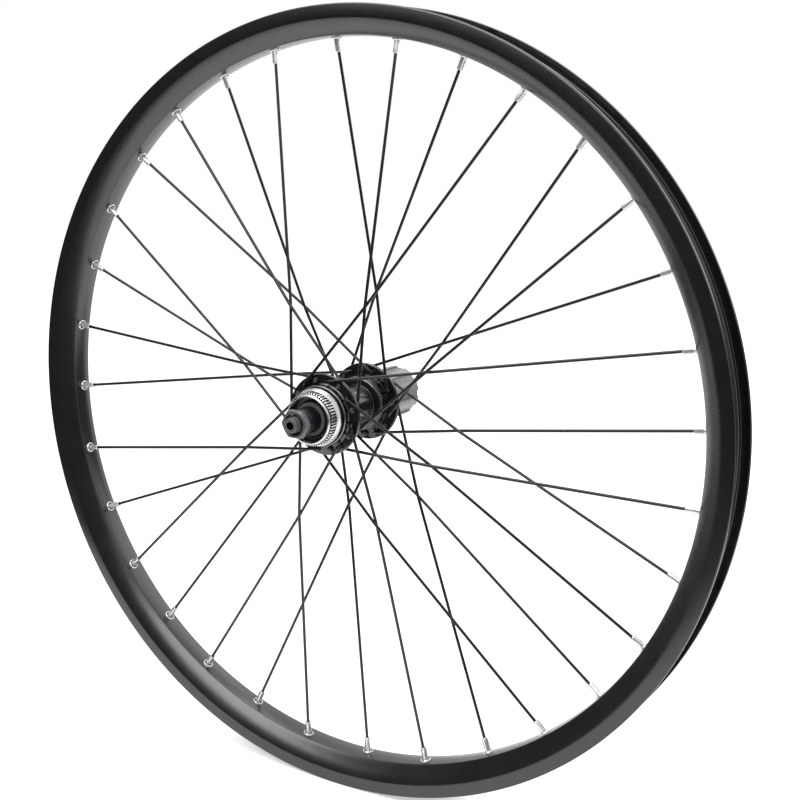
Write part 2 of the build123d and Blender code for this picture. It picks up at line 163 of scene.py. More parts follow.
# %% [markdown]
# ## Lamps and dark cards
# Black metal is drawn by what it reflects, so lamps matter more for their place than for their power. One hangs in
# front, one overhead and one behind, and all are large, so no shadow is hard. In an all-white room, black metal would
# look grey on every side. A photographer then stands dark cards round the object, with some white floor before them.
# Here reflections alone see the cards, so they neither take light away nor show in the picture. One vertex is
# extruded from fold to fold, and the line is then pulled up.

# %% Lamps
def add_lamp(name, place, width, height, power):
    """A flat lamp that shines at the middle of the wheel."""
    place = Vector(place)
    bpy.ops.object.light_add(type="AREA", location=place, rotation=place.to_track_quat("Z", "Y").to_euler())
    lamp = bpy.context.object
    lamp.name = name
    lamp.data.shape = "RECTANGLE"
    lamp.data.size = width
    lamp.data.size_y = height
    lamp.data.energy = power
    return lamp


add_lamp("front_lamp", place=(-0.2, -1.05, 1.2), width=1.5, height=0.9, power=18)
add_lamp("top_lamp", place=(-0.4, 0.4, 1.8), width=1.6, height=1.6, power=14)
add_lamp("rear_lamp", place=(0.5, 1.7, 0.6), width=2.0, height=2.0, power=10)

# %% Dark cards
card_black = bpy.data.materials.new("card_black")
card_black.use_nodes = True
card_shader = card_black.node_tree.nodes["Principled BSDF"]
card_shader.inputs["Base Color"].default_value = (0.036, 0.042, 0.046, 1)
card_shader.inputs["Roughness"].default_value = 0.9


def start_fresh():
    """Back to object mode with nothing selected, because an operator acts on all that is selected."""
    if bpy.context.mode != "OBJECT":
        bpy.ops.object.mode_set(mode="OBJECT")
    bpy.ops.object.select_all(action="DESELECT")


def trace(name, places):
    """A line drawn from place to place by extruding one vertex. It is left open in edit mode."""
    start_fresh()
    bpy.ops.mesh.primitive_plane_add(size=MM)
    drawn = bpy.context.object
    drawn.name = name
    drawn.data.name = name
    bpy.ops.object.mode_set(mode="EDIT")
    bpy.ops.mesh.select_mode(type="VERT")
    bpy.ops.mesh.merge(type="CENTER")
    bpy.ops.transform.translate(value=places[0])
    for before, after in zip(places, places[1:]):
        bpy.ops.mesh.extrude_vertices_move(TRANSFORM_OT_translate={"value": after - before})
    return drawn


def stand_card(name, height, folds):
    """A folded card that stands on the floor and is seen in reflections only."""
    card = trace(name, [Vector((*fold, cad_low.z)) for fold in folds])
    bpy.ops.mesh.select_all(action="SELECT")
    bpy.ops.mesh.extrude_edges_move(TRANSFORM_OT_translate={"value": (0, 0, height)})
    bpy.ops.object.mode_set(mode="OBJECT")
    for ray_kind in ("camera", "diffuse", "shadow", "transmission", "volume_scatter"):
        setattr(card, "visible_" + ray_kind, False)
    card.data.materials.append(card_black)
    print(name, "panels", len(card.data.polygons))


left_folds = [(-0.3, -0.44), (-0.43, -0.39), (-0.56, -0.2), (-1.0, 0.0), (-1.0, 0.3)]
stand_card("near_card", height=0.28, folds=[(1.3, -0.5), (0.1, -0.42), (-0.3, -0.44)])
stand_card("far_card", height=0.64, folds=[(1.3, -0.85), (-0.65, -0.8)])
stand_card("left_card", height=0.72, folds=left_folds)
stand_card("back_card", height=0.38, folds=[(0.15, 0.6), (1.5, 0.35)])

# %% [markdown]
# ## Shared surface effects
# No part of a wheel is one flat colour. Rolled and turned metal has fine lines that run round the axle, plating and
# anodising have a faint grain, and hands leave smudges that change the gloss. These effects are node groups, built
# once and placed in every finish with values of their own. They read Object coordinates, so they stay on the piece
# when it turns.

# %% Node groups
def wire(tree, kind, inputs, **settings):
    """A shader node with its settings and inputs: a socket is linked, and a number or colour is set."""
    made = tree.nodes.new("ShaderNode" + kind)
    for name, value in settings.items():
        setattr(made, name, value)
    for name, value in inputs.items():
        if isinstance(value, bpy.types.NodeSocket):
            tree.links.new(value, made.inputs[name])
        else:
            made.inputs[name].default_value = value
    return made


def start_group(name, numbers, results):
    """An empty shader node group with number inputs and outputs."""
    group = bpy.data.node_groups.new(name, "ShaderNodeTree")
    for label, value in numbers.items():
        socket = group.interface.new_socket(label, in_out="INPUT", socket_type="NodeSocketFloat")
        socket.default_value = value
    for label in results:
        group.interface.new_socket(label, in_out="OUTPUT", socket_type="NodeSocketFloat")
    return group, group.nodes.new("NodeGroupInput"), group.nodes.new("NodeGroupOutput")


fine_grain, grain_in, grain_out = start_group("fine_grain", {"Scale": 900, "Contrast": 1.6}, ["Tone"])
grain_place = wire(fine_grain, "TexCoord", {})
grain_noise = wire(
    fine_grain,
    "TexNoise",
    {"Vector": grain_place.outputs["Object"], "Scale": grain_in.outputs["Scale"], "Detail": 4, "Roughness": 0.6},
)
grain_middle = wire(fine_grain, "Math", {0: grain_noise.outputs["Fac"], 1: 0.5}, operation="SUBTRACT")
grain_spread = wire(
    fine_grain,
    "Math",
    {0: grain_middle.outputs[0], 1: grain_in.outputs["Contrast"], 2: 0.5},
    operation="MULTIPLY_ADD",
    use_clamp=True,
)
fine_grain.links.new(grain_spread.outputs[0], grain_out.inputs["Tone"])

round_lines, lines_in, lines_out = start_group("round_lines", {"Scale": 3000}, ["Height"])
lines_place = wire(round_lines, "TexCoord", {})
lines_split = wire(round_lines, "SeparateXYZ", {"Vector": lines_place.outputs["Object"]})
lines_flat = wire(round_lines, "CombineXYZ", {"X": lines_split.outputs["X"], "Z": lines_split.outputs["Z"]})
lines_radius = wire(round_lines, "VectorMath", {0: lines_flat.outputs[0]}, operation="LENGTH")
lines_sum = wire(
    round_lines, "Math", {0: lines_radius.outputs["Value"], 1: lines_split.outputs["Y"]}, operation="ADD"
)
lines_noise = wire(
    round_lines,
    "TexNoise",
    {"W": lines_sum.outputs[0], "Scale": lines_in.outputs["Scale"], "Detail": 3},
    noise_dimensions="1D",
)
round_lines.links.new(lines_noise.outputs["Fac"], lines_out.inputs["Height"])
print("groups", [group.name for group in bpy.data.node_groups])

# %% [markdown]
# ## Finishes
# Every finish is one Principled shader. The grain moves its colour between a darker and a lighter tone, a slow
# smudge moves its roughness, and the round lines and the grain together raise a little bump. What is the same all
# over, such as being metal or not, is set on the shader itself. Black anodising isn't metal to the eye, but its hard
# skin reflects about twice as much as paint does, so its specular level is higher.

# %% Finish function
GRAIN_SCALE = 900
SMUDGE_SCALE = 45
LINES_SHARE = 0.7
BUMP_DEPTH = 0.02 * MM


def use_group(tree, group, **numbers):
    """Places a node group in a material with its own values."""
    placed = tree.nodes.new("ShaderNodeGroup")
    placed.node_tree = group
    for label, value in numbers.items():
        placed.inputs[label].default_value = value
    return placed


def make_finish(name, dark, light, rough, metallic=0.0, specular=0.5, lines=3000, relief=0.3):
    """A finish between two tones and two roughnesses, with a bump of the given strength."""
    material = bpy.data.materials.new(name)
    material.use_nodes = True
    tree = material.node_tree
    shader = tree.nodes["Principled BSDF"]
    shader.inputs["Metallic"].default_value = metallic
    shader.inputs["Specular IOR Level"].default_value = specular
    speckle = use_group(tree, fine_grain, Scale=GRAIN_SCALE)
    smudge = use_group(tree, fine_grain, Scale=SMUDGE_SCALE)
    ring = use_group(tree, round_lines, Scale=lines)
    tone = wire(tree, "Mix", {0: speckle.outputs["Tone"], 6: (*dark, 1), 7: (*light, 1)}, data_type="RGBA")
    gloss = wire(tree, "MapRange", {"Value": smudge.outputs["Tone"], "To Min": rough[0], "To Max": rough[1]})
    height = wire(
        tree,
        "Math",
        {0: ring.outputs["Height"], 1: LINES_SHARE, 2: speckle.outputs["Tone"]},
        operation="MULTIPLY_ADD",
    )
    bump = wire(tree, "Bump", {"Strength": relief, "Distance": BUMP_DEPTH, "Height": height.outputs[0]})
    tree.links.new(tone.outputs[2], shader.inputs["Base Color"])
    tree.links.new(gloss.outputs["Result"], shader.inputs["Roughness"])
    tree.links.new(bump.outputs["Normal"], shader.inputs["Normal"])
    return material


rim_side_black = make_finish(
    "rim_side_black", (0.0035, 0.0042, 0.0048), (0.006, 0.007, 0.008), (0.2, 0.29), specular=0.76, relief=0.1
)
rim_slope_black = make_finish(
    "rim_slope_black", (0.004, 0.0045, 0.005), (0.007, 0.008, 0.0085), (0.2, 0.28), specular=0.85, relief=0.12
)
spoke_black = make_finish(
    "spoke_black", (0.003, 0.003, 0.0033), (0.006, 0.006, 0.0066), (0.24, 0.36), specular=0.5
)
# A lighter grey for the tops of the spoke heads: a painted highlight.
head_painted_highlight = make_finish("head_painted_highlight", (0.04, 0.041, 0.043), (0.075, 0.076, 0.078), (0.22, 0.34), specular=0.9)
nipple_nickel = make_finish(
    "nipple_nickel", (0.62, 0.605, 0.58), (0.78, 0.765, 0.74), (0.16, 0.26), metallic=0.72
)
eyelet_steel = make_finish("eyelet_steel", (0.66, 0.66, 0.65), (0.82, 0.82, 0.8), (0.14, 0.24), metallic=0.65)
# Dark grey for the inside of the eyelet funnels: painted shade.
eyelet_painted_shade = make_finish("eyelet_painted_shade", (0.02, 0.02, 0.02), (0.035, 0.035, 0.034), (0.4, 0.55))
print("finishes", len(bpy.data.materials))

# %% [markdown]
# ## Two tools for turned pieces
# Almost everything on a wheel was turned on a lathe or rolled into a ring. Such a piece could start as a cylinder,
# but its section has many steps, so the section is drawn instead: one vertex is extruded from corner to corner, the
# corners are rounded with a vertex bevel, and the outline is spun about the axle. A corner is written as radius,
# place along the axle and rounding, in millimetres.

# %% Outline and spin
MERGE = 0.004 * MM


def pick(kind, test):
    """Selects the vertices, edges or faces, in edit mode, whose middle passes a test."""
    bpy.ops.mesh.select_mode(type={"verts": "VERT", "edges": "EDGE", "faces": "FACE"}[kind])
    bpy.ops.mesh.select_all(action="DESELECT")
    mesh = bpy.context.edit_object.data
    shape = bmesh.from_edit_mesh(mesh)
    for part in getattr(shape, kind):
        if kind == "verts":
            middle = part.co
        else:
            middle = sum((corner.co for corner in part.verts), Vector()) / len(part.verts)
        if test(middle):
            part.select_set(True)
    shape.select_flush_mode()
    bmesh.update_edit_mesh(mesh)


def draw_outline(name, corners, segments=4):
    """A closed flat outline in the plane of +X and Y, with its corners rounded."""
    places = [Vector((radius, along, 0)) * MM for radius, along, rounding in corners]
    piece = trace(name, places)
    bpy.ops.mesh.select_all(action="SELECT")
    bpy.ops.mesh.edge_face_add()
    for rounding in sorted({corner[2] for corner in corners} - {0}):
        wanted = [place for place, corner in zip(places, corners) if corner[2] == rounding]
        pick("verts", lambda spot: any((spot - place).length < MERGE for place in wanted))
        bpy.ops.mesh.bevel(offset=rounding * MM, affect="VERTICES", segments=segments, clamp_overlap=True)
    bpy.ops.mesh.select_all(action="SELECT")
    bpy.ops.mesh.delete(type="ONLY_FACE")
    pick("edges", lambda spot: abs(spot.x) < MERGE)
    bpy.ops.mesh.delete(type="EDGE")
    return piece


def turn(name, corners, steps, segments=4):
    """A piece turned about the axle from its outline."""
    piece = draw_outline(name, corners, segments)
    bpy.ops.mesh.select_all(action="SELECT")
    bpy.ops.mesh.spin(steps=steps, angle=2 * pi, center=(0, 0, 0), axis=(0, 1, 0))
    bpy.ops.mesh.select_all(action="SELECT")
    bpy.ops.mesh.remove_doubles(threshold=MERGE)
    bpy.ops.mesh.normals_make_consistent(inside=False)
    bpy.ops.object.mode_set(mode="OBJECT")
    return piece


def mirrored(corners):
    """The whole outline of a section that is the same on both sides of the middle plane."""
    return corners + [(radius, -along, rounding) for radius, along, rounding in reversed(corners)]


def cut(piece, cutter, operation="DIFFERENCE"):
    """Cuts one mesh with another, and throws the cutter away."""
    start_fresh()
    bpy.context.view_layer.objects.active = piece
    modifier = piece.modifiers.new("cut", "BOOLEAN")
    modifier.operation = operation
    modifier.solver = "EXACT"
    modifier.object = cutter
    bpy.ops.object.modifier_apply(modifier="cut")
    bpy.data.objects.remove(cutter)


def join(pieces, name):
    """One object from several."""
    start_fresh()
    for piece in pieces:
        piece.select_set(True)
    bpy.context.view_layer.objects.active = pieces[0]
    bpy.ops.object.join()
    pieces[0].name = name
    pieces[0].data.name = name
    return pieces[0]


def copy_to(piece, place):
    """A copy with a mesh of its own, put in place by a matrix that is then applied."""
    start_fresh()
    piece.select_set(True)
    bpy.context.view_layer.objects.active = piece
    bpy.ops.object.duplicate()
    copy = bpy.context.object
    copy.matrix_world = place
    bpy.ops.object.transform_apply(location=True, rotation=True, scale=True)
    return copy


def copies_round(pattern, count):
    """Evenly spaced copies of a pattern, turned about the axle. The pattern itself is thrown away."""
    copies = [copy_to(pattern, Matrix.Rotation(-2 * pi * number / count, 4, "Y")) for number in range(count)]
    bpy.data.objects.remove(pattern)
    return copies


# %% [markdown]
# ## Rim
# The rim is an aluminium extrusion, rolled into a hoop and joined with a sleeve, so a hairline shows opposite the
# valve. Its section has two hooked walls for the tyre, a well between them, and flanks and a bed that are crowned
# a little, so that their tone changes softly. A closed chamber keeps it light. A ring could be bent from a straight
# bar, but a spin gives the same with an even mesh. One Boolean then cuts the spoke holes in the bed, wider holes in
# the well through which the nipples go in, the valve hole, and the sleeve joint as a slot a tenth of a millimetre
# wide.

# %% Rim body
RIM_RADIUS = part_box("rim")[1].x / MM
RIM_HALF_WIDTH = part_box("rim")[1].y / MM
BED_RADIUS = 239.5
BED_HALF_WIDTH = 7.15
CREASE_RADIUS = 251.2
SEAT_RADIUS = 253.5
WELL_RADIUS = 250.0
WALL_Y = 13.55
HOOK_REACH = 0.9
HOOK_HEIGHT = 2.6
SEAT_WIDTH = 3.0
WELL_SLOPE = 2.0
BED_FLAT = 1.8
BED_FALL = 0.55
FLANK_CROWN = (244.95, 12.46)
CHAMBER_FOOT = (241.3, 6.08)
CHAMBER_TOP = (248.7, 12.6)
RIM_STEPS = 288

rim_corners = [
    (BED_RADIUS, BED_FLAT, 1.7),
    (BED_RADIUS + BED_FALL, BED_HALF_WIDTH, 0.35),
    (*FLANK_CROWN, 5.8),
    (CREASE_RADIUS, RIM_HALF_WIDTH, 1.0),
    (RIM_RADIUS, RIM_HALF_WIDTH, 0.9),
    (RIM_RADIUS, WALL_Y - HOOK_REACH, 0.8),
    (RIM_RADIUS - HOOK_HEIGHT, WALL_Y, 1.0),
    (SEAT_RADIUS, WALL_Y, 0.8),
    (SEAT_RADIUS, WALL_Y - SEAT_WIDTH, 0.8),
    (WELL_RADIUS, WALL_Y - SEAT_WIDTH - WELL_SLOPE, 1.2),
]
chamber_corners = [(*CHAMBER_FOOT, 0.8), (*CHAMBER_TOP, 1.2)]
rim = turn("wheel_rim", mirrored(rim_corners), RIM_STEPS)
cut(rim, turn("rim_chamber", mirrored(chamber_corners), RIM_STEPS))
print("rim faces", len(rim.data.polygons))

# %% Rim holes
SPOKES = 32
PITCH = 360 / SPOKES
VALVE_ANGLE = 53.65
HOLE_STAGGER = 1.5
SPOKE_HOLE_RADIUS = 2.3
ACCESS_HOLE_RADIUS = 4.0
VALVE_HOLE_RADIUS = 4.25
BELOW_BED = 236
IN_CHAMBER = (245, 246)
ABOVE_WALLS = 262
SEAM_BLADE = (30, 40, 0.11)
SEAM_MIDDLE = 249.5


def hole_angle(index):
    """The holes are counted from the valve hole, which lies half way between two of them."""
    return VALVE_ANGLE + PITCH * (index + 0.5)


def hole_side(index):
    """-1 where the spoke goes to the disc flange, +1 where it goes to the drive flange."""
    return -1 if index % 2 == 0 else 1


def around(radius, angle, along):
    """A point given in millimetres by its radius, its angle about the axle and its place along the axle."""
    return Vector((radius * cos(radians(angle)), along, radius * sin(radians(angle)))) * MM


def rod(radius, first, last, sides=28):
    """A round cutter from one point to another."""
    start_fresh()
    line = last - first
    bpy.ops.mesh.primitive_cylinder_add(
        vertices=sides,
        radius=radius * MM,
        depth=line.length,
        location=(first + last) / 2,
        rotation=line.to_track_quat("Z", "Y").to_euler(),
    )
    bpy.ops.object.transform_apply(location=True, rotation=True, scale=True)
    return bpy.context.object


def block(size, place=Vector()):
    """A box-shaped cutter, with its three sides in millimetres."""
    start_fresh()
    bpy.ops.mesh.primitive_cube_add(size=1, location=place)
    cutter = bpy.context.object
    cutter.scale = Vector(size) * MM
    bpy.ops.object.transform_apply(location=True, rotation=True, scale=True)
    return cutter


def ray(radius_in, radius_out, angle, along):
    """The two ends of a stretch of a ray of the wheel."""
    return around(radius_in, angle, along), around(radius_out, angle, along)


bits = [rod(VALVE_HOLE_RADIUS, *ray(BELOW_BED, ABOVE_WALLS, VALVE_ANGLE, 0))]
for index in range(SPOKES):
    stagger = hole_side(index) * HOLE_STAGGER
    bits.append(rod(SPOKE_HOLE_RADIUS, *ray(BELOW_BED, IN_CHAMBER[0], hole_angle(index), stagger)))
    bits.append(rod(ACCESS_HOLE_RADIUS, *ray(IN_CHAMBER[1], ABOVE_WALLS, hole_angle(index), stagger)))
seam_pattern = block(SEAM_BLADE, around(SEAM_MIDDLE, 0, 0))
bits.append(copy_to(seam_pattern, Matrix.Rotation(-radians(VALVE_ANGLE + 180), 4, "Y")))
bpy.data.objects.remove(seam_pattern)
cut(rim, join(bits, "rim_bits"))
print("rim faces after drilling", len(rim.data.polygons))

# %% [markdown]
# ## Rim finish
# The rim is black all over, but its upright side walls are a little smoother than the sloping flanks and the bed.
# Two materials could go on two meshes, but the rim is one extrusion, so its faces are given one finish or the other
# by their distance from the axle.

# %% Rim finish
def smooth(piece, angle=30):
    """Smooth shading, with edges sharper than the angle kept sharp."""
    start_fresh()
    piece.select_set(True)
    bpy.context.view_layer.objects.active = piece
    bpy.ops.object.shade_smooth_by_angle(angle=radians(angle))


def settle(piece, body, slot, finishes, *nodes):
    """Gives a piece more materials and its body, and hides the CAD nodes it stands for. The slot is not used."""
    for finish in finishes:
        piece.data.materials.append(finish)
    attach(piece, body)
    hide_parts(*nodes)


def paint(piece, number, test):
    """Gives the faces that pass a test, by radius and place along the axle in millimetres, another finish."""
    for face in piece.data.polygons:
        radius = sqrt(face.center.x**2 + face.center.z**2) / MM
        if test(radius, face.center.y / MM):
            face.material_index = number


smooth(rim)
settle(rim, "wheel", "rim_black", [rim_side_black, rim_slope_black], "rim")
paint(rim, 1, lambda radius, along: radius < CREASE_RADIUS - 0.1)
print("rim finishes", [finish.name for finish in rim.data.materials])

# %% [markdown]
# ## Lacing
# Each spoke leaves its hub flange, crosses three others and is woven past the last one, then enters the rim. Its
# four points come from the same few facts that a wheel builder uses: the hole count, the number of crossings and
# the flanges. Outside spokes lean one way round the hub and inside spokes the other way.

# %% Spoke points
DISC_FLANGE_Y = -32.7
DRIVE_FLANGE_Y = 17.2
FLANGE_THICKNESS = 3.0
DISC_FLANGE_RADIUS = 26.5
DRIVE_FLANGE_RADIUS = 25.8
HOLE_TO_EDGE = 4.0
HUB_PITCH = 2 * PITCH
LACING_ANGLE = 3 * HUB_PITCH
ELBOW_REACH = 4.7
WEAVE = 1.05


def hub_hole(index):
    """The place of a spoke's hole in its flange: its angle, its circle and the flange's middle."""
    turning = 1 if index % 4 < 2 else -1
    flange_radius = DISC_FLANGE_RADIUS if hole_side(index) < 0 else DRIVE_FLANGE_RADIUS
    flange_y = DISC_FLANGE_Y if hole_side(index) < 0 else DRIVE_FLANGE_Y
    return hole_angle(index) + turning * LACING_ANGLE, flange_radius - HOLE_TO_EDGE, flange_y, turning


def spoke_points(index):
    """Head seat, elbow, weaving point and rim end of a spoke, in metres."""
    angle, circle, flange_y, turning = hub_hole(index)
    out = hole_side(index) * turning
    head = around(circle, angle, flange_y - out * FLANGE_THICKNESS / 2)
    elbow = around(circle, angle, flange_y + out * ELBOW_REACH)
    middle = around(circle, angle, flange_y)
    seat = around(BED_RADIUS, hole_angle(index), hole_side(index) * HOLE_STAGGER)
    cross = around(1, angle - turning * (LACING_ANGLE - HUB_PITCH / 2), 0)
    before = middle.x * cross.z - middle.z * cross.x
    after = seat.x * cross.z - seat.z * cross.x
    weave = middle + (seat - middle) * (before / (before - after))
    weave.y -= out * WEAVE * MM
    return head, elbow, weave, seat


print("first spoke", [round(value / MM, 1) for value in spoke_points(0)[2]])

# %% [markdown]
# ## Eyelets
# A pressed steel ring lines each spoke hole, so that the nipple doesn't wear the soft aluminium. It is a rolled
# lip with a funnel, and the funnel is painted dark grey as painted shade, because little light gets in beside the
# nipple. A torus would give the lip but not the funnel, so the whole section is turned about its own axis. Its
# copies round the rim are joined to one piece.

# %% Eyelets
def pointing(place, direction):
    """The matrix that stands a turned piece on a place, with its own axis along a direction."""
    axle_line = Vector((0, 1, 0))
    up = direction.normalized()
    side = (axle_line - up * axle_line.dot(up)).normalized()
    matrix = Matrix((side, up, side.cross(up))).transposed().to_4x4()
    matrix.translation = place
    return matrix


EYELET_RADIUS = 3.62
FUNNEL_RADIUS = 2.7

eyelet_corners = [
    (2.05, 1.2, 0),
    (2.05, 0.5, 0.2),
    (2.72, -0.5, 0.1),
    (2.85, -0.9, 0.25),
    (3.2, -0.9, 0.25),
    (EYELET_RADIUS, -0.3, 0.2),
    (EYELET_RADIUS, 0.4, 0),
    (2.6, 0.4, 0),
    (2.28, 0.6, 0),
    (2.28, 1.2, 0),
]
eyelet = turn("eyelet", eyelet_corners, 32, segments=3)
smooth(eyelet, 40)
eyelet.data.materials.append(eyelet_steel)
eyelet.data.materials.append(eyelet_painted_shade)
# The funnel inside the lip is painted dark grey: painted shade beside the nipple.
paint(eyelet, 1, lambda radius, along: radius < FUNNEL_RADIUS)
eyelet_copies = []
for index in range(SPOKES):
    seat = spoke_points(index)[3]
    eyelet_copies.append(copy_to(eyelet, pointing(seat, around(1, hole_angle(index), 0))))
bpy.data.objects.remove(eyelet)
rim_eyelets = join(eyelet_copies, "rim_eyelets")
settle(rim_eyelets, "wheel", "bright_steel", [], "eyelets")
print("eyelets", len(eyelet_copies), "faces", len(rim_eyelets.data.polygons))

# %% [markdown]
# ## Nipples
# A nipple is a small brass nut, nickel plated, that pulls its spoke tight. It is round where it passes the eyelet
# and has four flats for the key below that. The round form is turned first. A Boolean then cuts the flats and the
# screwdriver slot in its head, which shows through the holes in the tyre well. Each nipple was turned until its
# spoke was tight, so its flats have stopped at an angle of their own.

# %% Nipples
NIPPLE_SHOWING = 9.3
NIPPLE_RADIUS = 1.97
NIPPLE_HEAD_RADIUS = 2.9
NIPPLE_HEAD_TOP = 4.5
SOCKET_RADIUS = 1.08
SOCKET_DEPTH = 1.4
NIPPLE_FLATS = 3.3
FLATS_LENGTH = 6.6
FLAT_DEPTH = 2.0
SLOT = (7, 2.4, 0.9)
UPPER_RIGHT = 30
LEAST_TURNS = (20, -5)
TURN_STEP = 5

nipple_corners = [
    (0, SOCKET_DEPTH - NIPPLE_SHOWING, 0),
    (SOCKET_RADIUS, SOCKET_DEPTH - NIPPLE_SHOWING, 0),
    (SOCKET_RADIUS, 0.2 - NIPPLE_SHOWING, 0),
    (1.25, -NIPPLE_SHOWING, 0),
    (1.5, -NIPPLE_SHOWING, 0.2),
    (NIPPLE_RADIUS, 0.7 - NIPPLE_SHOWING, 0.35),
    (NIPPLE_RADIUS, 2.3, 0.2),
    (NIPPLE_HEAD_RADIUS, 2.6, 0.2),
    (NIPPLE_HEAD_RADIUS, 3.6, 0.5),
    (2.2, NIPPLE_HEAD_TOP, 0.3),
    (0, NIPPLE_HEAD_TOP, 0),
]
nipple = turn("nipple", nipple_corners, 32, segments=3)
flat_middle = around((NIPPLE_FLATS + FLAT_DEPTH) / 2, 0, FLATS_LENGTH / 2 - NIPPLE_SHOWING - 0.1)
key_flat = block((FLAT_DEPTH, FLATS_LENGTH + 0.2, 2 * FLAT_DEPTH), flat_middle)
for flat_copy in copies_round(key_flat, 4):
    cut(nipple, flat_copy)
cut(nipple, block(SLOT, around(0, 0, NIPPLE_HEAD_TOP + 0.1)))
smooth(nipple, 32)


def nipple_turn(index):
    """The angle at which a nipple has stopped, in three steps that start lower on the upper right of the rim."""
    right = cos(radians(hole_angle(index) - UPPER_RIGHT)) > 0
    return Matrix.Rotation(radians(LEAST_TURNS[right] + TURN_STEP * (index % 3)), 4, "Y")


nipple_copies = []
for index in range(SPOKES):
    weave, seat = spoke_points(index)[2:]
    nipple_copies.append(copy_to(nipple, pointing(seat, seat - weave) @ nipple_turn(index)))
bpy.data.objects.remove(nipple)
spoke_nipples = join(nipple_copies, "spoke_nipples")
settle(spoke_nipples, "wheel", "nickel_brass", [nipple_nickel], "nipples")
print("nipples", len(nipple_copies), "faces", len(spoke_nipples.data.polygons))

# %% [markdown]
# ## Spokes
# A spoke is a drawn steel wire with a pressed head and a bent neck. A curve with a round bevel would do for the
# wire, but not for the head, so it is modelled as one run of extrusions: a small disc is the top of the head, it is
# extruded and scaled into a dome, then into the thin neck, spun round the elbow, and pulled on to the rim. The tops
# of the heads are a lighter grey, a painted highlight. Four spokes are different, and the other 28 are copies of
# them turned round the axle by an eighth of a turn each.

# %% Spokes
WIRE_RADIUS = 1.0
WIRE_SIDES = 14
ELBOW_RADIUS = 2.6
ELBOW_STEPS = 7
HEAD_RINGS = [(1.25, 1.4), (1.85, 1.05), (2.15, 0.5), (2.15, 0.1), (2.0, 0.0), (WIRE_RADIUS, 0.0)]
HEAD_TOP = (0.6, 1.5)
HEAD_HIGHLIGHT_HEIGHT = 1.42


def pull(step):
    """Extrudes the selected end of the wire."""
    bpy.ops.mesh.extrude_region_move(TRANSFORM_OT_translate={"value": step})


def make_spoke(name, index):
    """One spoke from its head to the inside of its nipple."""
    head, elbow, weave, seat = spoke_points(index)
    neck = (elbow - head).normalized()
    run = (weave - elbow).normalized()
    start_fresh()
    bpy.ops.mesh.primitive_circle_add(
        vertices=WIRE_SIDES,
        radius=HEAD_TOP[0] * MM,
        fill_type="NGON",
        location=head - neck * HEAD_TOP[1] * MM,
        rotation=neck.to_track_quat("Z", "Y").to_euler(),
    )
    bpy.ops.object.transform_apply(location=True, rotation=True, scale=True)
    piece = bpy.context.object
    piece.name = name
    piece.data.name = name
    bpy.ops.object.mode_set(mode="EDIT")
    bpy.ops.mesh.select_all(action="SELECT")
    radius, height = HEAD_TOP
    for next_radius, next_height in HEAD_RINGS:
        pull(neck * (height - next_height) * MM)
        scale = next_radius / radius
        bpy.ops.transform.resize(value=(scale, scale, scale), center_override=head - neck * next_height * MM)
        radius, height = next_radius, next_height
    bend = neck.angle(run)
    setback = ELBOW_RADIUS * MM * tan(bend / 2)
    inward = (run - neck * run.dot(neck)).normalized()
    bend_start = elbow - neck * setback
    pull(bend_start - head)
    bpy.ops.mesh.spin(
        steps=ELBOW_STEPS,
        angle=-bend,
        center=bend_start + inward * ELBOW_RADIUS * MM,
        axis=neck.cross(inward),
    )
    bend_end = elbow + run * setback
    wire_end = seat - (seat - weave).normalized() * (NIPPLE_SHOWING - SOCKET_DEPTH) * MM
    pull(weave - bend_end)
    pull(wire_end - weave)
    bpy.ops.mesh.select_all(action="SELECT")
    bpy.ops.mesh.normals_make_consistent(inside=False)
    bpy.ops.object.mode_set(mode="OBJECT")
    smooth(piece, 50)
    piece.data.materials.append(spoke_black)
    piece.data.materials.append(head_painted_highlight)
    # The faces at the top of the head get the lighter grey: a painted highlight.
    for face in piece.data.polygons:
        offset = head - face.center
        if offset.length < 2 * MM and offset.dot(neck) > HEAD_HIGHLIGHT_HEIGHT * MM:
            face.material_index = 1
    return piece


EIGHTHS = 8
for index in range(SPOKES // EIGHTHS):
    flange_name = "disc" if hole_side(index) < 0 else "drive"
    run_name = "outer" if index % 4 < 2 else "inner"
    pattern = make_spoke("spoke_pattern", index)
    for number, spoke in enumerate(copies_round(pattern, EIGHTHS), start=1):
        spoke.name = f"{flange_name}_{run_name}_wire_{number}"
        spoke.data.name = spoke.name
        settle(spoke, "wheel", "spoke_black", [], f"{flange_name}_{run_name}_spoke_{number}")
    print("spokes", flange_name, run_name, "reach", round(spoke.dimensions.length / MM, 1))

# %% [markdown]
# ## Hub body
# The hub shell is one turned and anodised piece of aluminium. Only its disc boss is left bright, so the shell is
# made as two meshes that meet in a groove behind the boss. This is the black one: two flanges, the barrel between
# them and the drum that hides the end of the freehub. It could be built up from cylinders, but one outline keeps
# its fillets. The spoke holes are drilled with a Boolean, and a thin ring behind the groove is given grey metal,
# a painted highlight on what is a black edge.

# %% Hub body
HUB_STEPS = 192
SPLIT_Y = -40.3
DRIVE_END = 21.9
HOLE_RADIUS = 1.35
HOLE_REACH = 4
TURNED_LINES = 5000

